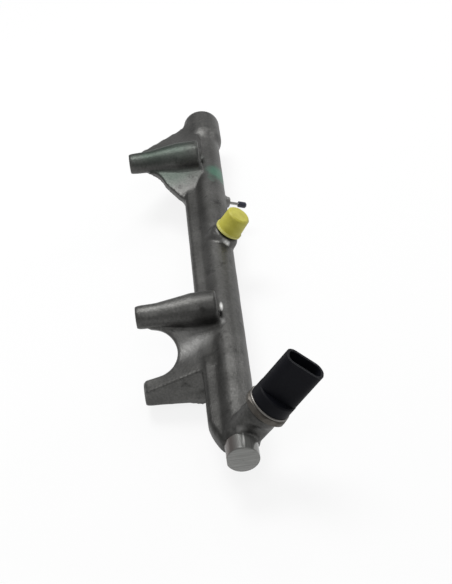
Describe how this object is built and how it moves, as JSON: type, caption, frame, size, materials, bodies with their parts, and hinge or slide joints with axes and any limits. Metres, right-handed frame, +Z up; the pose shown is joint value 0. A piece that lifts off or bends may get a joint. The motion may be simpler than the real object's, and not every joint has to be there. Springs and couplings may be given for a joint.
{
  "type": "fuel rail",
  "caption": "Forged diesel fuel rail: a round high-pressure tube with a rib, long bolt-on arms, a capped inlet port and a pressure sensor with an oval connector.",
  "frame": {"origin": "centre of the middle arm's foot face, on its bolt hole's axis", "axes": "+X along the rail from the turned spigot to the head, +Y along the arms' bolts towards the feet, +Z up as the rail lies in the picture, away from the outlets"},
  "size_m": [0.383, 0.111, 0.0902],
  "materials": {
    "forged_steel": "dull shot-blasted forging, turned bright at the spigot",
    "bright_steel": "bright machined",
    "plated_steel": "dull plated, slightly brown",
    "light_metal": "satin",
    "black_plastic": "matte, bluish black",
    "terminal_metal": "tinned",
    "yellow_plastic": "matte",
    "dark_tip": "smooth, bluish black"
  },
  "bodies": {
    "root": {"rail_body": "forged_steel", "bore_plug": "bright_steel", "sensor_body": "plated_steel", "sensor_ring": "light_metal", "sensor_housing": "black_plastic", "terminal_1": "terminal_metal", "terminal_2": "terminal_metal", "terminal_3": "terminal_metal", "inlet_cap": "yellow_plastic", "side_pin": "bright_steel", "pin_tip": "dark_tip"}
  },
  "joints": []
}
